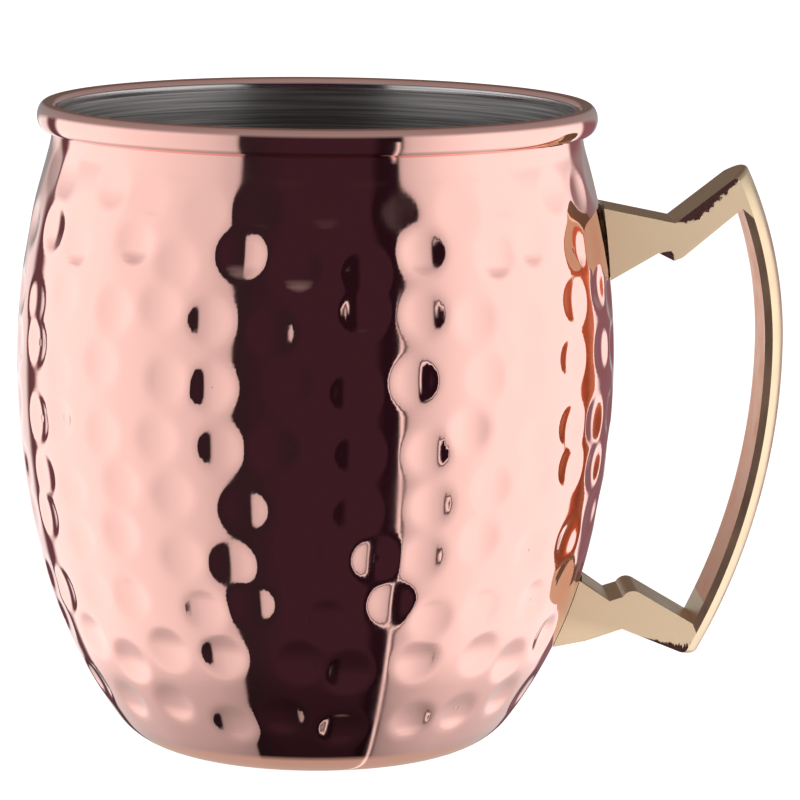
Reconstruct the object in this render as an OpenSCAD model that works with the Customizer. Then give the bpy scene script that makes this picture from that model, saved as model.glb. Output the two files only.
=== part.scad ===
// Hammered copper mug with a steel liner, a rolled rim and a cast brass handle.
// Millimetres. +Z is up, the origin is the centre of the base, and the handle is on the +X side.

/* [Body] */
// Height from the table to the top of the rolled rim
mug_h = 99.6; // [80:0.1:125]
// Outside radius of the belly
belly_r = 46; // [38:0.1:56]
// Height of the widest part of the belly
belly_z = 59.6; // [45:0.1:72]
// Radius of the flat that the mug stands on
base_r = 21.5; // [15:0.1:26]
// Radius of the corner between the base and the side
corner_r = 11.5; // [8:0.1:15]
// Angle that the corner turns through before the side begins
corner_turn = 53.7; // [40:0.1:60]
// How far the straight neck under the rim stands in from the belly
neck_in = 5.4; // [3:0.1:9]
// Radius of the hollow curve between the belly and the neck
neck_curve_r = 12.8; // [8:0.1:20]
// Thickness of the copper
copper_t = 0.6; // [0.5:0.05:1.2]
// Thickness of the steel liner
steel_t = 0.4; // [0.3:0.05:0.8]

/* [Rolled rim] */
// Width of the rolled bead, from the outside of the liner outwards
bead_w = 2.9; // [2.4:0.1:4]
// Height of the rolled bead
bead_h = 4.3; // [3.2:0.1:6]
// Gap that the end of the curl leaves at the neck
curl_gap = 0.3; // [0.15:0.05:0.5]
// Distance from the top of the bead down to the liner's edge
liner_drop = 0.8; // [0.6:0.1:2]

/* [Handle] */
// Width of the handle, across the arms and the grip
handle_w = 12.5; // [9:0.1:16]
// How far the outside of the grip stands out from the belly
grip_out = 26.4; // [22:0.1:34]
// Height of the outermost point of the grip
grip_z = 62.5; // [52:0.1:70]
// Thickness of the grip, from its flat inside to the crown of its outside
grip_t = 3.5; // [2.8:0.1:5]
// Thickness of the grip at its two edges
grip_edge_t = 1.2; // [0.8:0.1:2]
// Radius that the outside of the grip follows above its outermost point
grip_upper_r = 65; // [55:1:90]
// Radius that the outside of the grip follows below its outermost point
grip_lower_r = 100; // [80:1:140]
// Height of the upper joint's middle
upper_joint_z = 78.5; // [64:0.1:88]
// Height of the lower joint's middle
lower_joint_z = 20.8; // [18:0.1:30]
// Thickness of the filler metal in the two joints
braze_t = 0.4; // [0.25:0.05:0.6]
// How far the filler metal stays inside the edges of the foot
braze_inset = 0.3; // [0.1:0.05:0.6]

/* [Hidden] */

$fa = 2;
$fs = 0.4;

copper_colour = "#d99a84";
steel_colour = "#8b8683";
brass_colour = "#cdb083";
filler_colour = "#8a6a3c";
// Overlap of a cutting shape past the face that it cuts
over = 1;
// Angle between two points on an arc of an outline
arc_step = 2.5;

// Points along an arc from one angle to another, without the first of them.
function arc(c, r, from, to) =
    let (steps = ceil(abs(to - from) / arc_step))
    [for (i = [1:steps])
        let (a = from + (to - from) * i / steps)
        c + r * [cos(a), sin(a)]];

// The outline of the body is a chain of arcs that run into each other: corner, side, lower belly,
// upper belly and neck. A point on it is [distance from the axis, height], and the angle of an
// arc's point is measured at the arc's centre, from straight outwards.
corner_c = [base_r, corner_r];
corner_end = corner_turn - 90;
side_start = corner_c + corner_r * [cos(corner_end), sin(corner_end)];
belly_p = [belly_r, belly_z];

// The side gives way to the lower belly where it is parallel to the chord between their far ends.
side_chord = belly_p - side_start;
side_end = atan2(side_chord[1], side_chord[0]) - 90;
side_turn = side_end - corner_end;
turn_ratio = (1 - cos(side_turn)) / (1 - cos(side_end));
side_r = norm(side_chord) / (sin(side_turn) - turn_ratio * sin(side_end));
side_c = side_start - side_r * [cos(corner_end), sin(corner_end)];
lower_r = turn_ratio * side_r;
lower_c = [belly_r - lower_r, belly_z];

// The rim: the bead stands on the copper's inside face, and the neck ends inside the bead.
neck_r = belly_r - neck_in;
copper_in_r = neck_r - copper_t;
bead_c = copper_in_r + bead_w / 2;
bead_bottom = mug_h - bead_h;
neck_z = bead_bottom + bead_w / 4;
liner_top = mug_h - liner_drop;

// The upper belly touches the neck's hollow curve.
neck_c = [neck_r + neck_curve_r, neck_z];
neck_dx = neck_c[0] - belly_r;
neck_dz = neck_z - belly_z;
upper_r = (neck_dx ^ 2 + neck_dz ^ 2 - neck_curve_r ^ 2) / (2 * (neck_curve_r - neck_dx));
upper_c = [belly_r - upper_r, belly_z];
upper_end = atan2(neck_c[1] - upper_c[1], neck_c[0] - upper_c[0]);

// The whole outline from the axis to the top, moved out by a distance.
function body_outline(out, top) = concat(
    [[0, -out], [base_r, -out]],
    arc(corner_c, corner_r + out, -90, corner_end),
    arc(side_c, side_r + out, corner_end, side_end),
    arc(lower_c, lower_r + out, side_end, 0),
    arc(upper_c, upper_r + out, 0, upper_end),
    arc(neck_c, neck_curve_r - out, upper_end + 180, 180),
    [[neck_r + out, top], [0, top]]
);

// The grip follows two arcs that meet at its outermost point.
handle_reach = belly_r + grip_out;
grip_upper_c = [handle_reach - grip_upper_r, grip_z];
grip_lower_c = [handle_reach - grip_lower_r, grip_z];
// Height of the crown of the grip's outside over the grip's edges, and its radius to a hundredth,
// so that the crowns of the two arcs meet exactly.
crown_t = grip_t - grip_edge_t;
crown_r = round(100 * ((handle_w / 2) ^ 2 + crown_t ^ 2) / (2 * crown_t)) / 100;

// Each arm's edge is drawn on from a point, at a slope, to this far inside the body. The body's
// outline then cuts it.
foot_x = belly_r / 2;
function drawn_on(p, slope) = [foot_x, p[1] + (foot_x - p[0]) * slope];

// Upper arm, from the belly outwards and from the middle of its joint up and down
foot_upper_top = upper_joint_z + 5.6;
foot_upper_low = upper_joint_z - 5.4;
notch_p = [belly_r + 8.7, upper_joint_z + 3.3];
peak_z = upper_joint_z + 12.1;
peak_angle = asin((peak_z - grip_z) / grip_upper_r);
crook_z = upper_joint_z + 5.6;
crook_angle = asin((crook_z - grip_z) / (grip_upper_r - grip_t));
heel_p = [belly_r + 8.6, upper_joint_z - 2.5];
heel_size = [1.3, 0.5];
step_p = [belly_r + 6.2, upper_joint_z - 1.3];
upper_top_slope = -0.208;
upper_low_slope = 0.586;

// Lower arm, in the same way
foot_lower_top = lower_joint_z + 5.4;
foot_lower_low = lower_joint_z - 5.3;
dip_p = [belly_r - 0.4, lower_joint_z + 2];
crest_p = [belly_r + 3.3, lower_joint_z + 1.7];
crest_r = 1.9;
crest_from = 150;
crest_to = 65;
elbow_z = lower_joint_z - 1.6;
elbow_angle = asin((elbow_z - grip_z) / (grip_lower_r - grip_t));
toe_z = lower_joint_z - 7.2;
toe_angle = asin((toe_z - grip_z) / grip_lower_r);
knee_p = [belly_r + 1.6, lower_joint_z - 2.4];
sole_p = [belly_r - 4.1, lower_joint_z - 4.3];
lower_top_slope = -0.681;
lower_low_slope = 0.19;

// ---- sub-parts ----

// A solid that fills the mug up to its outline, moved out by a distance.
module body_solid(out) {
    rotate_extrude()
        polygon(body_outline(out, mug_h));
}

// The bead's section: two half rounds and the flat between them.
module bead_section(inset) {
    round_r = bead_w / 2 - inset;
    for (z = [bead_bottom + bead_w / 2, mug_h - bead_w / 2])
        translate([bead_c, z]) circle(round_r);
    translate([bead_c - round_r, bead_bottom + bead_w / 2])
        square([2 * round_r, bead_h - bead_w]);
}

module copper_shell() {
    color(copper_colour)
        rotate_extrude() {
            difference() {
                polygon(body_outline(0, mug_h - bead_w / 2));
                polygon(body_outline(-copper_t, mug_h));
                bead_section(copper_t);
            }
            difference() {
                bead_section(0);
                bead_section(copper_t);
                translate([neck_r, bead_bottom - over])
                    square([curl_gap, over + bead_w / 2]);
            }
        }
}

module steel_liner() {
    color(steel_colour)
        rotate_extrude()
            difference() {
                polygon(body_outline(-copper_t, liner_top));
                polygon(body_outline(-copper_t - steel_t, mug_h));
            }
}

// Stands an outline drawn in X and Z upright, with its thickness across Y.
module across(width) {
    translate([0, width / 2, 0])
        rotate([90, 0, 0])
            linear_extrude(width)
                children();
}

// Both arms and the grip, seen from the side. The grip's outside is drawn proud of its crown, and
// each foot is drawn on into the body.
module handle_outline() {
    polygon(concat(
        [drawn_on(notch_p, upper_top_slope), notch_p],
        arc(grip_upper_c, grip_upper_r + over, peak_angle + arc_step, 0),
        arc(grip_lower_c, grip_lower_r + over, 0, toe_angle),
        [knee_p, sole_p, drawn_on(sole_p, lower_low_slope), drawn_on(dip_p, lower_top_slope), dip_p],
        arc(crest_p, crest_r, crest_from, crest_to),
        arc(grip_lower_c, grip_lower_r - grip_t, elbow_angle - arc_step, 0),
        arc(grip_upper_c, grip_upper_r - grip_t, 0, crook_angle),
        [heel_p + heel_size, heel_p, step_p, drawn_on(step_p, upper_low_slope)]
    ));
}

// Cuts the crown along one arc of the grip, from its outermost point up or down.
module crown_cutter(c, r, turn, down) {
    translate([c[0], 0, c[1]])
        rotate([90, 0, 0])
            mirror([0, down, 0])
                rotate_extrude(angle = turn)
                    difference() {
                        translate([r - crown_t - over / 2, -handle_w / 2 - over])
                            square([crown_t + 3 * over, handle_w + 2 * over]);
                        translate([r - crown_r, 0]) circle(crown_r);
                    }
}

module handle() {
    color(brass_colour)
        difference() {
            across(handle_w)
                handle_outline();
            crown_cutter(grip_upper_c, grip_upper_r, peak_angle + 3 * arc_step, 0);
            crown_cutter(grip_lower_c, grip_lower_r, 3 * arc_step - toe_angle, 1);
            body_solid(braze_t);
        }
}

// Filler metal between a foot and the wall, over the foot's height.
module braze(low, high) {
    color(filler_colour)
        difference() {
            intersection() {
                across(handle_w - 2 * braze_inset)
                    translate([foot_x, low + braze_inset])
                        square([belly_r, high - low - 2 * braze_inset]);
                body_solid(braze_t);
            }
            body_solid(0);
        }
}

module upper_braze() {
    braze(foot_upper_low, foot_upper_top);
}

module lower_braze() {
    braze(foot_lower_low, foot_lower_top);
}

copper_shell();
steel_liner();
handle();
upper_braze();
lower_braze();
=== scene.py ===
import math
import random

import bmesh
import bpy
from mathutils import Matrix, Vector, geometry, kdtree


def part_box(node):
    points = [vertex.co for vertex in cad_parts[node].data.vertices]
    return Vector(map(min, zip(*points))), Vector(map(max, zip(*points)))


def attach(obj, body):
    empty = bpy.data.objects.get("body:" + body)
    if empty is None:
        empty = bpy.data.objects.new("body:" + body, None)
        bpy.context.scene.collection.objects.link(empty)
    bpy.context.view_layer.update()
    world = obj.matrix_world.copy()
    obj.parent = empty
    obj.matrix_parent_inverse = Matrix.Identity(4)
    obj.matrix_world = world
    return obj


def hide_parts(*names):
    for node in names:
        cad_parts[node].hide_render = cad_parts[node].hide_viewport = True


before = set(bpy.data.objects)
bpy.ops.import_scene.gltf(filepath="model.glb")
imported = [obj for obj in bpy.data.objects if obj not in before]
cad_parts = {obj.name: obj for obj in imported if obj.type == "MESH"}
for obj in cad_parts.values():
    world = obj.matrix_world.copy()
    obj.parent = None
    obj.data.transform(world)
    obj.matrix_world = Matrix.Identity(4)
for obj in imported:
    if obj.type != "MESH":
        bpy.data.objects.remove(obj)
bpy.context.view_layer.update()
MM = 0.001


# ---- Camera ----
# It stands 0.7 m in front of the mug and a little to its left, above the rim, and looks slightly
# down past the mug's handle side. It leans by half a degree.
EYE = Vector((-22.0, -699.7, 166.9)) * MM
HEADING = math.radians(2.87)
LOOK_DOWN = math.radians(9.21)
LEAN = math.radians(0.6)
camera_data = bpy.data.cameras.new("camera")
camera_data.sensor_width = 36
camera_data.lens = 206.2
camera = bpy.data.objects.new("camera", camera_data)
bpy.context.scene.collection.objects.link(camera)
camera.matrix_world = (
    Matrix.Translation(EYE)
    @ Matrix.Rotation(-HEADING, 4, "Z")
    @ Matrix.Rotation(math.radians(90) - LOOK_DOWN, 4, "X")
    @ Matrix.Rotation(LEAN, 4, "Z")
)
bpy.context.scene.camera = camera
bpy.context.scene.view_settings.view_transform = "Standard"


# ---- Studio ----
# A pale table, a large soft light on each side, a dark room in front and a dark ceiling. Polished
# metal shows the camera whatever lies in its mirror direction, so the room is painted by the way
# that a surface must face to mirror it: first round from left to right, then up and down.
def colour(code):
    """An sRGB hex colour as linear red, green, blue and alpha."""
    channels = [int(code[i:i + 2], 16) / 255 for i in (1, 3, 5)]
    linear = [c / 12.92 if c <= 0.04045 else ((c + 0.055) / 1.055) ** 2.4 for c in channels]
    return (*linear, 1.0)


def add_node(tree, kind, inputs=(), stops=(), **settings):
    """Adds a node with its settings, its inputs' values or links, and the stops of a ramp."""
    made = tree.nodes.new(kind)
    for name, value in settings.items():
        setattr(made, name, value)
    for socket, value in dict(inputs).items():
        if isinstance(value, bpy.types.NodeSocket):
            tree.links.new(value, made.inputs[socket])
        else:
            made.inputs[socket].default_value = value
    if stops:
        while len(made.color_ramp.elements) < len(stops):
            made.color_ramp.elements.new(0.5)
        for element, (place, value) in zip(made.color_ramp.elements, stops):
            element.position = place
            element.color = value if isinstance(value, tuple) else (value, value, value, 1)
    return made


def new_finish(name):
    """Starts a material, and returns it with its nodes and its shader."""
    made = bpy.data.materials.new(name)
    made.use_nodes = True
    return made, made.node_tree, made.node_tree.nodes["Principled BSDF"]


def spread_out(stops, low, high, full=1.0):
    """Stops placed from low to high, and lit up to full, as a ramp's stops from 0 to 1."""
    return [
        ((place - low) / (high - low), light if isinstance(light, tuple) else light / full)
        for place, light in stops
    ]


BRIGHTEST = 1.5
DARK_LEFT = colour("#251d22")
DARK_FRONT = colour("#301f28")
DARK_RIGHT = colour("#1d1018")
SIDE_WALL = colour("#75585e")
DOORWAY = colour("#553c42")
OVERHEAD = colour("#594f49")
STAND = colour("#a2978b")
room = [
    (-90, 1.1), (-78, 0.95), (-75.5, DOORWAY), (-71.5, DOORWAY), (-69.5, 1.3), (-50, 1.25),
    (-42, 1.1), (-30, 0.95), (-24, 0.85), (-18.4, 0.68), (-17.6, DARK_LEFT), (-8, DARK_FRONT),
    (9.5, DARK_FRONT), (11, DARK_RIGHT), (15.8, DARK_RIGHT), (16.2, 0.66), (18, 0.78), (24, 1.0),
    (29, 1.13), (35, 1.25), (59, 1.3), (68.5, 1.2), (70.5, SIDE_WALL), (83, SIDE_WALL), (86, 0.5),
    (90, 0.8),
]
sides_share = [
    (-1.0, 0.0), (-0.74, 0.04), (-0.66, 0.45), (-0.6, 0.48), (-0.43, 0.66), (-0.34, 0.98),
    (-0.28, 1.0), (0.34, 1.0), (0.5, 0.0),
]
above_and_below = [
    (-1.0, STAND), (-0.74, STAND), (-0.66, 0.0), (0.34, 0.0), (0.5, 0.36), (0.8, 0.3),
    (0.92, OVERHEAD),
]
slit = [(14.4, 0.0), (14.6, 0.8), (14.9, 0.8), (15.1, 0.0)]
slit_share = [(0.12, 1.0), (0.2, 0.0)]
world = bpy.data.worlds.new("studio")
world.use_nodes = True
bpy.context.scene.world = world
tree = world.node_tree
tree.nodes.clear()
direction = add_node(tree, "ShaderNodeTexCoord").outputs["Generated"]
facing = add_node(
    tree, "ShaderNodeVectorMath", {0: direction, 1: EYE.normalized()}, operation="ADD"
)
facing = add_node(tree, "ShaderNodeVectorMath", {0: facing.outputs[0]}, operation="NORMALIZE")
axes = add_node(tree, "ShaderNodeSeparateXYZ", {"Vector": facing.outputs[0]})
forward = add_node(tree, "ShaderNodeMath", {0: axes.outputs["Y"], 1: -1.0}, operation="MULTIPLY")
turn = add_node(
    tree, "ShaderNodeMath", {0: axes.outputs["X"], 1: forward.outputs[0]}, operation="ARCTAN2"
)
share = add_node(
    tree, "ShaderNodeMath", {0: turn.outputs[0], 1: 1 / math.pi, 2: 0.5}, operation="MULTIPLY_ADD"
)
sides = add_node(
    tree, "ShaderNodeValToRGB", {"Fac": share.outputs[0]}, spread_out(room, -90, 90, BRIGHTEST)
)
glint = add_node(
    tree, "ShaderNodeValToRGB", {"Fac": share.outputs[0]}, spread_out(slit, -90, 90)
)
height = add_node(
    tree, "ShaderNodeMath", {0: axes.outputs["Z"], 1: 0.5, 2: 0.5}, operation="MULTIPLY_ADD"
)
sides_fade = add_node(
    tree, "ShaderNodeValToRGB", {"Fac": height.outputs[0]}, spread_out(sides_share, -1, 1)
)
other = add_node(
    tree, "ShaderNodeValToRGB", {"Fac": height.outputs[0]},
    spread_out(above_and_below, -1, 1, BRIGHTEST),
)
glint_fade = add_node(
    tree, "ShaderNodeValToRGB", {"Fac": height.outputs[0]}, spread_out(slit_share, -1, 1)
)
glint = add_node(
    tree, "ShaderNodeMix", {0: 1.0, 6: glint.outputs["Color"], 7: glint_fade.outputs["Color"]},
    data_type="RGBA", blend_type="MULTIPLY",
)
studio = add_node(
    tree, "ShaderNodeMix", {0: 1.0, 6: sides.outputs["Color"], 7: sides_fade.outputs["Color"]},
    data_type="RGBA", blend_type="MULTIPLY",
)
for more in (other.outputs["Color"], glint.outputs[2]):
    studio = add_node(
        tree, "ShaderNodeMix", {0: 1.0, 6: studio.outputs[2], 7: more},
        data_type="RGBA", blend_type="ADD",
    )
lit = add_node(tree, "ShaderNodeBackground", {"Color": studio.outputs[2], "Strength": BRIGHTEST})
seen = add_node(tree, "ShaderNodeBackground", {"Color": (1, 1, 1, 1), "Strength": 1.0})
path = add_node(tree, "ShaderNodeLightPath")
choice = add_node(tree, "ShaderNodeMixShader", {0: path.outputs["Is Camera Ray"]})
tree.links.new(lit.outputs[0], choice.inputs[1])
tree.links.new(seen.outputs[0], choice.inputs[2])
add_node(tree, "ShaderNodeOutputWorld", {"Surface": choice.outputs[0]})

TABLE_HALF = 6.0
TABLE_GAP = 0.1 * MM
bm = bmesh.new()
bmesh.ops.create_grid(bm, x_segments=1, y_segments=1, size=TABLE_HALF)
bmesh.ops.translate(bm, verts=bm.verts, vec=(0, 0, -TABLE_GAP))
mesh = bpy.data.meshes.new("table")
bm.to_mesh(mesh)
bm.free()
table = bpy.data.objects.new("table", mesh)
bpy.context.scene.collection.objects.link(table)
table_finish, tree, shader = new_finish("pale_table")
shader.inputs["Base Color"].default_value = colour("#f2f0ee")
shader.inputs["Roughness"].default_value = 0.7
shader.inputs["Emission Color"].default_value = colour("#ffffff")
shader.inputs["Emission Strength"].default_value = 0.9
mesh.materials.append(table_finish)

# The mug mirrors the lights below the table's edge too, as it would on a narrow stand.
table.visible_glossy = False


# ---- Copper shell ----
# The body is one sheet of copper, raised to a barrel on a small flat base, hammered with a round
# punch in rows all the way round, and rolled outwards into a hollow bead at the rim.
low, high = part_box("copper_shell")
RIM_TOP = high.z
BELLY_R = high.x
BELLY_Z = 59.6 * MM
BASE_R = 21.5 * MM
CORNER_R = 11.5 * MM
CORNER_TURN = 53.7
NECK_R = 40.6 * MM
NECK_CURVE_R = 12.8 * MM
COPPER_T = 0.6 * MM
BEAD_W = 2.9 * MM
BEAD_H = 4.3 * MM
CURL_GAP = 0.3 * MM
BEAD_STEPS = 40
BEAD_R = BEAD_W / 2
BEAD_X = NECK_R - COPPER_T + BEAD_R
BEAD_LOW = RIM_TOP - BEAD_H + BEAD_R
BEAD_TOP = RIM_TOP - BEAD_R
NECK_Z = RIM_TOP - BEAD_H + BEAD_W / 4


def body_arcs():
    """The barrel's outline from the base up: each arc's centre, and its start and end angles."""
    corner = Vector((BASE_R, CORNER_R))
    corner_end = math.radians(CORNER_TURN - 90)
    start = corner + CORNER_R * Vector((math.cos(corner_end), math.sin(corner_end)))
    chord = Vector((BELLY_R, BELLY_Z)) - start
    side_end = math.atan2(chord.y, chord.x) - math.pi / 2
    side_turn = side_end - corner_end
    ratio = (1 - math.cos(side_turn)) / (1 - math.cos(side_end))
    side_r = chord.length / (math.sin(side_turn) - ratio * math.sin(side_end))
    side = start - side_r * Vector((math.cos(corner_end), math.sin(corner_end)))
    lower_r = ratio * side_r
    neck = Vector((NECK_R + NECK_CURVE_R, NECK_Z))
    across, up = neck.x - BELLY_R, neck.y - BELLY_Z
    upper_r = (across ** 2 + up ** 2 - NECK_CURVE_R ** 2) / (2 * (NECK_CURVE_R - across))
    upper = Vector((BELLY_R - upper_r, BELLY_Z))
    upper_end = math.atan2(neck.y - upper.y, neck.x - upper.x)
    return [
        (corner, -math.pi / 2, corner_end),
        (side, corner_end, side_end),
        (Vector((BELLY_R - lower_r, BELLY_Z)), side_end, 0.0),
        (upper, 0.0, upper_end),
        (neck, upper_end + math.pi, math.pi),
    ]


def line_on(bm, vert, x, z, steps=1):
    """Carries a profile straight on from its last point, and returns the new last point."""
    start = vert.co.copy()
    end = Vector((x, start.y, z))
    for i in range(steps):
        point = bm.verts.new(start.lerp(end, (i + 1) / steps))
        bm.edges.new((vert, point))
        vert = point
    return vert


def arc_on(bm, vert, centre, turn, step=None, steps=None):
    """Carries a profile on along an arc, and returns the new last point. A step is a length."""
    if steps is None:
        reach = (Vector((vert.co.x, vert.co.z)) - centre).length
        steps = max(2, math.ceil(abs(turn) * reach / step))
    spun = bmesh.ops.spin(
        bm, geom=[vert], cent=(centre.x, 0, centre.y), axis=(0, -1, 0), angle=turn, steps=steps
    )
    return spun["geom_last"][0]


def wall_on(bm, vert, upwards, step):
    """Carries a profile on along the barrel's outline, or beside it, up or down."""
    arcs = body_arcs()
    if upwards:
        for centre, start, end in arcs:
            vert = arc_on(bm, vert, centre, end - start, step)
    else:
        for centre, start, end in reversed(arcs):
            vert = arc_on(bm, vert, centre, start - end, step)
    return vert


def turned(bm, steps):
    """Spins a profile about the mug's axis into a closed skin."""
    bmesh.ops.spin(
        bm, geom=bm.verts[:] + bm.edges[:], cent=(0, 0, 0), axis=(0, 0, 1), angle=math.tau,
        steps=steps, use_merge=True,
    )
    bmesh.ops.remove_doubles(bm, verts=bm.verts, dist=1e-7)
    bmesh.ops.recalc_face_normals(bm, faces=bm.faces)


def finished(name, bm, crease=40):
    """Smooths a bmesh except across its sharp edges, and makes it an object."""
    for face in bm.faces:
        face.smooth = True
    for edge in bm.edges:
        edge.smooth = edge.calc_face_angle(0.0) < math.radians(crease)
    mesh = bpy.data.meshes.new(name)
    bm.to_mesh(mesh)
    bm.free()
    made = bpy.data.objects.new(name, mesh)
    bpy.context.scene.collection.objects.link(made)
    return made


bm = bmesh.new()
OUTER_STEP = 0.8 * MM
CURL_STEP = 0.5 * MM
HIDDEN_STEP = 4 * MM
vert = bm.verts.new((0, 0, 0))
vert = line_on(bm, vert, BASE_R, 0, 12)
vert = wall_on(bm, vert, True, OUTER_STEP)
wall = sorted((v.co.z, v.co.x) for v in bm.verts if v.co.x > BASE_R)
vert = line_on(bm, vert, NECK_R, BEAD_TOP, 4)
hollow_r = BEAD_R - COPPER_T
vert = arc_on(bm, vert, Vector((BEAD_X, BEAD_TOP)), -math.pi, CURL_STEP)
vert = line_on(bm, vert, BEAD_X + hollow_r, BEAD_LOW)
curl_end = math.acos((NECK_R + CURL_GAP - BEAD_X) / hollow_r)
vert = arc_on(bm, vert, Vector((BEAD_X, BEAD_LOW)), -curl_end, CURL_STEP)
lip = -math.acos((NECK_R + CURL_GAP - BEAD_X) / BEAD_R)
for i in range(BEAD_STEPS + 1):
    angle = lip + (math.pi - lip) * i / BEAD_STEPS
    height = RIM_TOP - BEAD_H / 2 + BEAD_H / 2 * math.sin(angle)
    vert = line_on(bm, vert, BEAD_X + BEAD_R * math.cos(angle), height)
vert = line_on(bm, vert, NECK_R - COPPER_T, NECK_Z)
vert = wall_on(bm, vert, False, HIDDEN_STEP)
line_on(bm, vert, 0, COPPER_T)
turned(bm, 400)

# The punch marks: rows of shallow round dents, set by eye, so each one wanders a little.
MARK_R = 3.7 * MM
MARK_DEPTH = 0.56 * MM
MARK_SPACING = 9.9 * MM
MARK_WANDER = 1.9 * MM
ROW_TOP = 89 * MM
ROW_STEP = 8.7 * MM
ROW_STARTS = [1.5, 8.6, 5.1, 5.1, 5.1, 8.0, 8.5, 11.6, 8.0, 7.2]
ROW_SPARE = 2 * MM
TOP_ROW_SHARE = 0.35
SHALLOWEST = 0.7
DEEPEST = 1.15
MARKS_FROM = 2 * MM
MARK_EDGE = 0.85 * MARK_R
MARK_END = MARK_R ** 2 / MARK_EDGE


def dent(distance):
    """How deep a mark is at a distance from its middle: a bowl that runs out in a rounded rim."""
    if distance < MARK_EDGE:
        return MARK_DEPTH * (1 - (distance / MARK_R) ** 2)
    rim = MARK_DEPTH * MARK_EDGE / (MARK_R ** 2 * (MARK_END - MARK_EDGE))
    return rim * max(0.0, MARK_END - distance) ** 2


def wall_radius(z):
    """The barrel's outside radius at a height."""
    for (z0, x0), (z1, x1) in zip(wall, wall[1:]):
        if z0 <= z <= z1:
            return x0 + (x1 - x0) * (z - z0) / (z1 - z0)
    return BELLY_R


low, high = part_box("upper_braze")
upper_foot = (low + high) / 2
low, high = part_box("lower_braze")
lower_foot = (low + high) / 2
FOOT_CLEAR = 10 * MM
random.seed(7)
bm.normal_update()
outside = [
    v for v in bm.verts
    if v.normal.x * v.co.x + v.normal.y * v.co.y > 0 and MARKS_FROM < v.co.z < NECK_Z
]
wall_points = kdtree.KDTree(len(outside))
for i, v in enumerate(outside):
    wall_points.insert(v.co, i)
wall_points.balance()
depths = [0.0] * len(outside)
for row, start in enumerate(ROW_STARTS):
    z_row = ROW_TOP - row * ROW_STEP
    count = round(math.tau * min(wall_radius(z_row) + ROW_SPARE, BELLY_R) / MARK_SPACING)
    for i in range(count):
        z = z_row + random.uniform(-MARK_WANDER, MARK_WANDER)
        angle = math.radians(start - 90) + math.tau * i / count
        angle += random.uniform(-MARK_WANDER, MARK_WANDER) / BELLY_R
        deep = random.uniform(SHALLOWEST, DEEPEST) * (TOP_ROW_SHARE if row == 0 else 1.0)
        spot = Vector((wall_radius(z) * math.cos(angle), wall_radius(z) * math.sin(angle), z))
        if min((spot - upper_foot).length, (spot - lower_foot).length) < FOOT_CLEAR:
            continue
        for place, index, distance in wall_points.find_range(spot, MARK_END):
            depths[index] = max(depths[index], deep * dent(distance))
for v, depth in zip(outside, depths):
    v.co -= v.normal * depth
copper = finished("hammered_copper_shell", bm)

# Copper: red metal, hammered, then buffed to a mirror and lacquered, so it mirrors the room with a
# slight softness and a few faint wipe marks.
finish, tree, shader = new_finish("buffed_copper")
shader.inputs["Base Color"].default_value = colour("#f8c3b9")
shader.inputs["Metallic"].default_value = 1.0
place = add_node(tree, "ShaderNodeTexCoord").outputs["Object"]
WIPE = 14 * MM
wipes = add_node(tree, "ShaderNodeTexNoise", {"Vector": place, "Scale": 1 / WIPE, "Detail": 4.0})
rough = add_node(
    tree, "ShaderNodeMapRange",
    {"Value": wipes.outputs["Fac"], "From Min": 0.4, "From Max": 0.75,
     "To Min": 0.035, "To Max": 0.09},
)
tree.links.new(rough.outputs["Result"], shader.inputs["Roughness"])
RIPPLE = 2.2 * MM
ripple = add_node(
    tree, "ShaderNodeTexNoise", {"Vector": place, "Scale": 1 / RIPPLE, "Detail": 2.0}
)
bump = add_node(
    tree, "ShaderNodeBump",
    {"Height": ripple.outputs["Fac"], "Strength": 0.12, "Distance": 0.02 * MM},
)
tree.links.new(bump.outputs["Normal"], shader.inputs["Normal"])
copper.data.materials.append(finish)
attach(copper, "root")
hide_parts("copper_shell")


# ---- Steel liner ----
# A thin stainless cup, spun to the body's shape and nested in it. Its edge stands just inside the
# rolled rim. Spinning leaves fine rings all the way down.
low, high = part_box("steel_liner")
LINER_TOP = high.z
STEEL_T = 0.4 * MM
LINER_OUT = COPPER_T
LINER_IN = COPPER_T + STEEL_T
bm = bmesh.new()
vert = bm.verts.new((0, 0, LINER_OUT))
vert = line_on(bm, vert, BASE_R, LINER_OUT)
vert = wall_on(bm, vert, True, HIDDEN_STEP)
vert = line_on(bm, vert, NECK_R - LINER_OUT, LINER_TOP - STEEL_T / 2)
edge_middle = Vector((NECK_R - (LINER_OUT + LINER_IN) / 2, LINER_TOP - STEEL_T / 2))
vert = arc_on(bm, vert, edge_middle, math.pi, 0.1 * MM)
vert = line_on(bm, vert, NECK_R - LINER_IN, NECK_Z, 2)
vert = wall_on(bm, vert, False, 1.2 * MM)
line_on(bm, vert, 0, LINER_IN, 6)
turned(bm, 256)
liner = finished("spun_steel_liner", bm)

# Spun stainless steel: grey and bright, with rings too fine to count. They are drawn 0.35 mm apart,
# a little coarser than real, so that they show.
finish, tree, shader = new_finish("spun_stainless_steel")
shader.inputs["Metallic"].default_value = 1.0
RING = 0.35 * MM
ALONG = 30 * MM
place = add_node(tree, "ShaderNodeTexCoord").outputs["Object"]
axes = add_node(tree, "ShaderNodeSeparateXYZ", {"Vector": place})
flat = add_node(tree, "ShaderNodeVectorMath", {0: place, 1: (1, 1, 0)}, operation="MULTIPLY")
radius = add_node(tree, "ShaderNodeVectorMath", {0: flat.outputs[0]}, operation="LENGTH")
down = add_node(
    tree, "ShaderNodeMath", {0: axes.outputs["Z"], 1: radius.outputs["Value"]},
    operation="SUBTRACT",
)
rings_at = add_node(tree, "ShaderNodeMath", {0: down.outputs[0], 1: 1 / RING}, operation="MULTIPLY")
across = add_node(
    tree, "ShaderNodeMath", {0: axes.outputs["X"], 1: 1 / ALONG}, operation="MULTIPLY"
)
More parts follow.
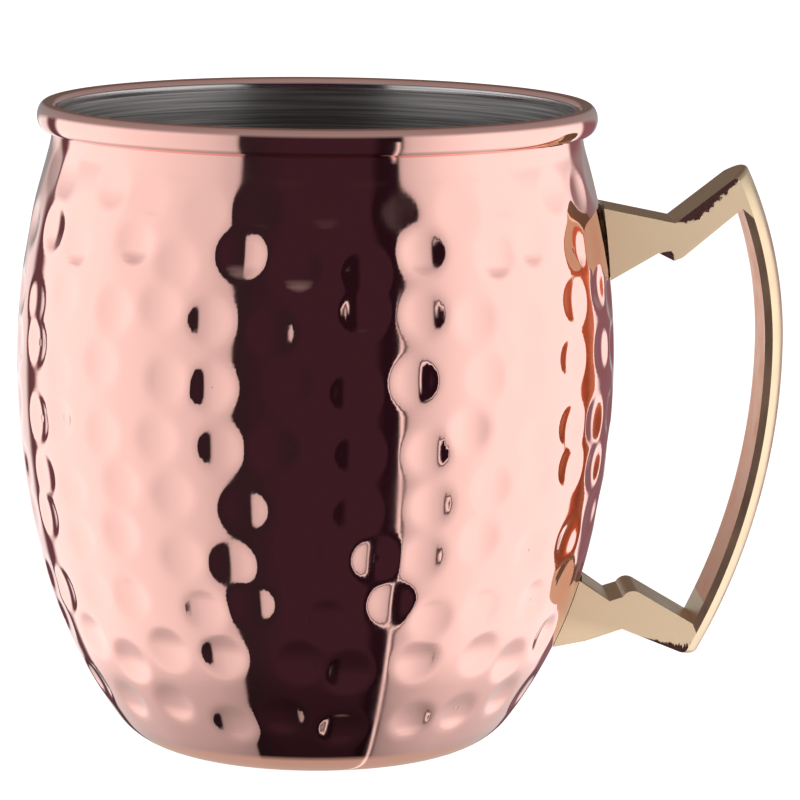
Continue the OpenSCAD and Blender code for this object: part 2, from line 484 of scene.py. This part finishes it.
along = add_node(
    tree, "ShaderNodeMath", {0: axes.outputs["Y"], 1: 1 / ALONG}, operation="MULTIPLY"
)
rings_place = add_node(
    tree, "ShaderNodeCombineXYZ",
    {"X": across.outputs[0], "Y": along.outputs[0], "Z": rings_at.outputs[0]},
)
rings = add_node(
    tree, "ShaderNodeTexNoise",
    {"Vector": rings_place.outputs[0], "Scale": 1.0, "Detail": 3.0},
)
rough = add_node(
    tree, "ShaderNodeMapRange",
    {"Value": rings.outputs["Fac"], "From Min": 0.35, "From Max": 0.7,
     "To Min": 0.4, "To Max": 0.52},
)

# The top of the cup is burnished smooth where the rim was rolled over it.
BURNISHED_Z = LINER_TOP - 1.4 * MM
BURNISHED_FADE = 0.3 * MM
satin = add_node(
    tree, "ShaderNodeMapRange",
    {"Value": axes.outputs["Z"], "From Min": BURNISHED_Z, "From Max": BURNISHED_Z + BURNISHED_FADE,
     "To Min": 1.0, "To Max": 0.0},
)
rough = add_node(
    tree, "ShaderNodeMix", {0: satin.outputs["Result"], 2: 0.15, 3: rough.outputs["Result"]},
    data_type="FLOAT",
)
tree.links.new(rough.outputs[0], shader.inputs["Roughness"])
spread = add_node(
    tree, "ShaderNodeMath", {0: satin.outputs["Result"], 1: 0.85}, operation="MULTIPLY"
)
tree.links.new(spread.outputs[0], shader.inputs["Anisotropic"])
shader.inputs["Anisotropic Rotation"].default_value = 0.25
tangent = add_node(tree, "ShaderNodeTangent", direction_type="RADIAL", axis="Z")
tree.links.new(tangent.outputs["Tangent"], shader.inputs["Tangent"])
tone = add_node(
    tree, "ShaderNodeValToRGB", {"Fac": rings.outputs["Fac"]},
    [(0.3, colour("#8f8b8b")), (0.7, colour("#dad6d5"))],
)
tree.links.new(tone.outputs["Color"], shader.inputs["Base Color"])
bump = add_node(
    tree, "ShaderNodeBump", {"Height": rings.outputs["Fac"], "Strength": 0.5, "Distance": 0.02 * MM}
)
tree.links.new(bump.outputs["Normal"], shader.inputs["Normal"])
liner.data.materials.append(finish)
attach(liner, "root")
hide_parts("steel_liner")


# ---- Handle ----
# One brass casting: two stepped arms, and a grip that bows between them, flat on its inside and
# crowned on its outside. The arms' sides are ground flat, and the rest is polished.
low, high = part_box("handle")
HALF_W = high.y
REACH = high.x
GRIP_Z = 62.5 * MM
GRIP_T = 3.5 * MM
CROWN_T = 2.3 * MM
CROWN_R = (HALF_W ** 2 + CROWN_T ** 2) / (2 * CROWN_T)
UPPER_GRIP_R = 65 * MM
LOWER_GRIP_R = 100 * MM
upper_grip = Vector((REACH - UPPER_GRIP_R, GRIP_Z))
lower_grip = Vector((REACH - LOWER_GRIP_R, GRIP_Z))
UP = 78.5 * MM
DOWN = 20.8 * MM
NOTCH = Vector((54.7 * MM, UP + 3.3 * MM))
PEAK = Vector((66.0 * MM, UP + 12.1 * MM))
CROOK_Z = UP + 5.6 * MM
HEEL = Vector((54.6 * MM, UP - 2.5 * MM))
HEEL_W = 1.3 * MM
STEP = Vector((52.2 * MM, UP - 1.3 * MM))
UPPER_TOP_SLOPE = -0.2
UPPER_LOW_SLOPE = 0.586
DIP = Vector((45.6 * MM, DOWN + 2 * MM))
CREST = Vector((49.3 * MM, DOWN + 1.7 * MM))
CREST_R = 1.9 * MM
ELBOW_Z = DOWN - 1.6 * MM
TOE = Vector((59.6 * MM, DOWN - 7.2 * MM))
KNEE = Vector((47.6 * MM, DOWN - 2.4 * MM))
SOLE = Vector((41.9 * MM, DOWN - 4.3 * MM))
LOWER_TOP_SLOPE = -0.68
LOWER_LOW_SLOPE = 0.19
PEAK_R = 0.8 * MM
TOE_R = 0.9 * MM
ROUND = 2.5 * MM
CUT_DROP = 1.5 * MM
UPPER_GAP = 0.8 * MM
FOOT_GAP = 0.1 * MM
GRIP_X = 63 * MM
EDGE_ROUND = 0.45 * MM
EDGE_ANGLE = 16
SLICES = 12
POLISHED, GROUND, COPPER_REFLECTION_TINTED, SATIN = range(4)


def foot_point(start, slope, gap, y):
    """Where an arm's edge, drawn on from a point at a slope, comes to a gap from the wall."""
    x = BELLY_R
    for _ in range(6):
        z = start.y + (x - start.x) * slope
        x = math.sqrt((wall_radius(z) + gap) ** 2 - y ** 2)
    return x, z


def foot_on(bm, vert, end, gap, end_gap, steps=4):
    """Carries an outline on down or up the wall, to the foot's other edge."""
    start_z, y = vert.co.z, vert.co.y
    for i in range(1, steps + 1):
        z = start_z + (end[1] - start_z) * i / steps
        apart = gap + (end_gap - gap) * i / steps
        vert = line_on(bm, vert, math.sqrt((wall_radius(z) + apart) ** 2 - y ** 2), z)
    return vert


def angle_on(centre, radius, z):
    """The angle of an arc's point at a height."""
    return math.asin((z - centre.y) / radius)


def corner_on(bm, vert, corner, beyond, radius, steps):
    """Carries an outline on to a corner and round it, and returns its last point."""
    before = Vector((vert.co.x, vert.co.z)) - corner
    after = beyond - corner
    half = before.angle(after) / 2
    reach = radius / math.tan(half)
    inwards = (before.normalized() + after.normalized()).normalized()
    middle = corner + inwards * radius / math.sin(half)
    start = corner + before.normalized() * reach - middle
    turn = start.angle_signed(corner + after.normalized() * reach - middle)
    vert = line_on(bm, vert, *(middle + start))
    for i in range(1, steps + 1):
        spoke = start.copy()
        spoke.rotate(Matrix.Rotation(-turn * i / steps, 2))
        vert = line_on(bm, vert, *(middle + spoke))
    return vert


def handle_outline(bm, y):
    """Draws the handle's outline at y. Returns its edges and its grip's four corners."""
    drop = CROWN_R - math.sqrt(CROWN_R ** 2 - y ** 2)
    before = set(bm.edges)
    first = bm.verts.new((0, y, 0))
    x, z = foot_point(NOTCH, UPPER_TOP_SLOPE, UPPER_GAP, y)
    first.co = (x, y, z)
    vert = line_on(bm, first, *NOTCH)
    far = NOTCH + 2 * (PEAK - NOTCH)
    peak = geometry.intersect_line_sphere_2d(NOTCH, far, upper_grip, UPPER_GRIP_R - drop, False)
    peak = max((p for p in peak if p is not None), key=lambda p: p.x)
    outer = UPPER_GRIP_R - drop
    below = angle_on(upper_grip, outer, peak.y - ROUND)
    beyond = upper_grip + outer * Vector((math.cos(below), math.sin(below)))
    vert = corner_on(bm, vert, peak, beyond, PEAK_R, 8)
    vert = line_on(bm, vert, *beyond)
    cut = angle_on(upper_grip, outer, CROOK_Z - CUT_DROP)
    vert = grip_top = arc_on(bm, vert, upper_grip, cut - below, steps=4)
    vert = arc_on(bm, vert, upper_grip, -cut, steps=16)
    knee_far = KNEE + 2 * (TOE - KNEE)
    toe = geometry.intersect_line_sphere_2d(KNEE, knee_far, lower_grip, LOWER_GRIP_R - drop, False)
    toe = max((p for p in toe if p is not None), key=lambda p: p.x)
    outer = LOWER_GRIP_R - drop
    cut = angle_on(lower_grip, outer, ELBOW_Z - CUT_DROP)
    vert = grip_bottom = arc_on(bm, vert, lower_grip, cut, steps=24)
    vert = line_on(bm, vert, *toe.lerp(Vector((vert.co.x, vert.co.z)), 0.5))
    vert = corner_on(bm, vert, toe, KNEE, TOE_R, 8)
    vert = line_on(bm, vert, *KNEE)
    vert = line_on(bm, vert, *SOLE)
    vert = line_on(bm, vert, *foot_point(SOLE, LOWER_LOW_SLOPE, FOOT_GAP, y))
    vert = foot_on(bm, vert, foot_point(DIP, LOWER_TOP_SLOPE, FOOT_GAP, y), FOOT_GAP, FOOT_GAP)
    vert = line_on(bm, vert, *DIP)
    crest_from, crest_to = math.radians(150), math.radians(65)
    start = CREST + CREST_R * Vector((math.cos(crest_from), math.sin(crest_from)))
    vert = line_on(bm, vert, *start)
    vert = arc_on(bm, vert, CREST, crest_to - crest_from, steps=6)
    inner_r = LOWER_GRIP_R - GRIP_T
    elbow_angle = angle_on(lower_grip, inner_r, ELBOW_Z)
    vert = line_on(bm, vert, lower_grip.x + inner_r * math.cos(elbow_angle), ELBOW_Z)
    elbow_vert = vert
    vert = arc_on(bm, vert, lower_grip, -elbow_angle, steps=24)
    inner_r = UPPER_GRIP_R - GRIP_T
    vert = arc_on(bm, vert, upper_grip, angle_on(upper_grip, inner_r, CROOK_Z), steps=14)
    crook_vert = vert
    vert = line_on(bm, vert, HEEL.x + HEEL_W, HEEL.y + 0.5 * MM)
    vert = line_on(bm, vert, *HEEL)
    vert = line_on(bm, vert, *STEP)
    vert = line_on(bm, vert, *foot_point(STEP, UPPER_LOW_SLOPE, FOOT_GAP, y))
    vert = foot_on(bm, vert, (x, z), FOOT_GAP, UPPER_GAP, 3)
    bm.edges.new((vert, first))
    return [e for e in bm.edges if e not in before], (grip_top, crook_vert, grip_bottom, elbow_vert)


bm = bmesh.new()
cuts = [handle_outline(bm, HALF_W * (2 * i / SLICES - 1)) for i in range(SLICES + 1)]
for cut, next_cut in zip(cuts, cuts[1:]):
    bmesh.ops.bridge_loops(bm, edges=cut[0] + next_cut[0])
for edges, (grip_top, crook_vert, grip_bottom, elbow_vert) in (cuts[0], cuts[-1]):
    bmesh.ops.edgeloop_fill(bm, edges=edges)
    bmesh.ops.connect_verts(bm, verts=[grip_top, crook_vert])
    bmesh.ops.connect_verts(bm, verts=[grip_bottom, elbow_vert])
bmesh.ops.recalc_face_normals(bm, faces=bm.faces)
rim = [e for e in bm.edges if e.calc_face_angle(0.0) > math.radians(EDGE_ANGLE)]
bmesh.ops.bevel(
    bm, geom=rim, offset=EDGE_ROUND, offset_type="OFFSET", segments=4, profile=0.5, affect="EDGES",
    clamp_overlap=True, material=-1,
)
# The grip's inside faces get the brass whose colour holds a painted reflection of the copper wall.
for face in bm.faces:
    middle = face.calc_center_median()
    side = abs(face.normal.y) > 0.999 and abs(middle.y) > HALF_W - 0.01 * MM
    inside = face.normal.x < -0.8 and abs(face.normal.y) < 0.2 and middle.x > GRIP_X - 3 * MM
    if side:
        face.material_index = GROUND if middle.x < GRIP_X else SATIN
    else:
        face.material_index = COPPER_REFLECTION_TINTED if inside else POLISHED
handle = finished("cast_brass_handle", bm)

RUB = 5 * MM


def rubbed_brass(name, tone, smoothest, dullest):
    """Brass whose shine varies a little from place to place, as the polishing wheel left it."""
    finish, tree, shader = new_finish(name)
    shader.inputs["Base Color"].default_value = colour(tone)
    shader.inputs["Metallic"].default_value = 1.0
    place = add_node(tree, "ShaderNodeTexCoord").outputs["Object"]
    rubs = add_node(
        tree, "ShaderNodeTexNoise", {"Vector": place, "Scale": 1 / RUB, "Detail": 5.0}
    )
    rough = add_node(
        tree, "ShaderNodeMapRange",
        {"Value": rubs.outputs["Fac"], "From Min": 0.35, "From Max": 0.7,
         "To Min": smoothest, "To Max": dullest},
    )
    tree.links.new(rough.outputs["Result"], shader.inputs["Roughness"])
    return finish


# Brass: a yellow casting, polished on its top, its underside and the outside of its grip.
handle.data.materials.append(rubbed_brass("polished_brass", "#f3d8b4", 0.26, 0.38))

# The ground sides: the same brass under upright grinding lines. They scatter the light so widely
# that the sides look pale and almost without a shine, except on the patches that the wheel missed.
finish, tree, shader = new_finish("ground_brass")
shader.inputs["Base Color"].default_value = colour("#ffe4bf")
place = add_node(tree, "ShaderNodeTexCoord").outputs["Object"]
LINE = 0.22 * MM
STROKE = 9 * MM
lines_place = add_node(
    tree, "ShaderNodeVectorMath", {0: place, 1: (1 / LINE, 1 / LINE, 1 / STROKE)},
    operation="MULTIPLY",
)
lines = add_node(
    tree, "ShaderNodeTexNoise",
    {"Vector": lines_place.outputs[0], "Scale": 1.0, "Detail": 3.0},
)
rough = add_node(
    tree, "ShaderNodeMapRange",
    {"Value": lines.outputs["Fac"], "From Min": 0.3, "From Max": 0.7,
     "To Min": 0.62, "To Max": 0.76},
)
normal = add_node(tree, "ShaderNodeNewGeometry").outputs["Normal"]
across = add_node(
    tree, "ShaderNodeVectorMath", {0: normal, 1: (0, 0, 1)}, operation="CROSS_PRODUCT"
)
tree.links.new(across.outputs[0], shader.inputs["Tangent"])


def missed_by_grinding(start, end, inward, reach, wobble, fall):
    """A patch along an edge that the grinding did not reach: 1 on it and 0 off it."""
    along = (end - start).normalized()
    into = Vector((-along.y, along.x)) * inward
    offset = add_node(
        tree, "ShaderNodeVectorMath", {0: place, 1: (start.x, 0, start.y)}, operation="SUBTRACT"
    )
    near = add_node(
        tree, "ShaderNodeVectorMath", {0: offset.outputs[0], 1: (into.x, 0, into.y)},
        operation="DOT_PRODUCT",
    )
    near = add_node(tree, "ShaderNodeMath", {0: near.outputs["Value"]}, operation="ABSOLUTE")
    length = (end - start).length
    far = add_node(
        tree, "ShaderNodeVectorMath",
        {0: offset.outputs[0], 1: (along.x / length, 0, along.y / length)}, operation="DOT_PRODUCT",
    )
    width = add_node(
        tree, "ShaderNodeValToRGB", {"Fac": far.outputs["Value"]},
        [(0.0, 0.0), (fall, 1.0), (0.98, 0.25), (1.0, 0.0)],
    )
    wave = add_node(
        tree, "ShaderNodeVectorMath", {0: place, 1: [1 / size for size in wobble]},
        operation="MULTIPLY",
    )
    wave = add_node(
        tree, "ShaderNodeTexNoise", {"Vector": wave.outputs[0], "Scale": 1.0, "Detail": 4.0}
    )
    ragged = add_node(
        tree, "ShaderNodeMath", {0: width.outputs["Color"], 1: wave.outputs["Fac"]},
        operation="MULTIPLY",
    )
    edge = add_node(
        tree, "ShaderNodeMath", {0: ragged.outputs[0], 1: 2 * reach}, operation="MULTIPLY"
    )
    gap = add_node(
        tree, "ShaderNodeMath", {0: edge.outputs[0], 1: near.outputs[0]}, operation="SUBTRACT"
    )
    return add_node(
        tree, "ShaderNodeMath", {0: gap.outputs[0], 1: 1 / SOFT},
        operation="MULTIPLY", use_clamp=True,
    ).outputs[0]


SOFT = 0.25 * MM
MOTTLE = (0.9 * MM, 0.9 * MM, 0.9 * MM)
STREAK = (0.3 * MM, 0.3 * MM, 5 * MM)
patches = [
    missed_by_grinding(NOTCH, PEAK, -1, 1.9 * MM, MOTTLE, 0.2),
    missed_by_grinding(KNEE.lerp(TOE, 0.2), TOE, 1, 1.5 * MM, STREAK, 0.8),
    missed_by_grinding(STEP, HEEL, 1, 1.6 * MM, MOTTLE, 0.6),
]
mask = patches[0]
for patch in patches[1:]:
    mask = add_node(tree, "ShaderNodeMath", {0: mask, 1: patch}, operation="MAXIMUM").outputs[0]
spread = add_node(tree, "ShaderNodeMapRange", {"Value": mask, "To Min": 0.95, "To Max": 0.0})
tree.links.new(spread.outputs["Result"], shader.inputs["Anisotropic"])
bare = add_node(tree, "ShaderNodeMapRange", {"Value": mask, "To Min": 0.2, "To Max": 1.0})
tree.links.new(bare.outputs["Result"], shader.inputs["Metallic"])
rough = add_node(
    tree, "ShaderNodeMix", {0: mask, 2: rough.outputs["Result"], 3: 0.26}, data_type="FLOAT"
)
tree.links.new(rough.outputs[0], shader.inputs["Roughness"])
bump = add_node(
    tree, "ShaderNodeBump", {"Height": lines.outputs["Fac"], "Strength": 0.6, "Distance": 0.02 * MM}
)
tree.links.new(bump.outputs["Normal"], shader.inputs["Normal"])
handle.data.materials.append(finish)

# The inside of the grip is polished too. It faces the copper wall, and its colour is tinted copper
# orange as a painted reflection of that wall.
handle.data.materials.append(rubbed_brass("brass_painted_copper_reflection", "#f0a67c", 0.25, 0.4))

# The grip's flat sides are only brushed by the polishing wheel, and stay satin.
handle.data.materials.append(rubbed_brass("satin_brass", "#f3d3ae", 0.4, 0.5))
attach(handle, "root")
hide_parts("handle")


# ---- Brazed joints ----
# A thin pad of filler metal holds each foot to the copper. It is dull, and darker than the brass.
finish, tree, shader = new_finish("brazing_filler")
shader.inputs["Metallic"].default_value = 1.0
place = add_node(tree, "ShaderNodeTexCoord").outputs["Object"]
GRAIN = 0.6 * MM
grain = add_node(
    tree, "ShaderNodeTexNoise", {"Vector": place, "Scale": 1 / GRAIN, "Detail": 4.0}
)
tone = add_node(
    tree, "ShaderNodeValToRGB", {"Fac": grain.outputs["Fac"]},
    [(0.35, colour("#4a3424")), (0.7, colour("#8a6a48"))],
)
tree.links.new(tone.outputs["Color"], shader.inputs["Base Color"])
shader.inputs["Roughness"].default_value = 0.55
bump = add_node(
    tree, "ShaderNodeBump", {"Height": grain.outputs["Fac"], "Strength": 0.5, "Distance": 0.05 * MM}
)
tree.links.new(bump.outputs["Normal"], shader.inputs["Normal"])
for name in ("upper_braze", "lower_braze"):
    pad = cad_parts[name].data
    pad.materials.clear()
    pad.materials.append(finish)
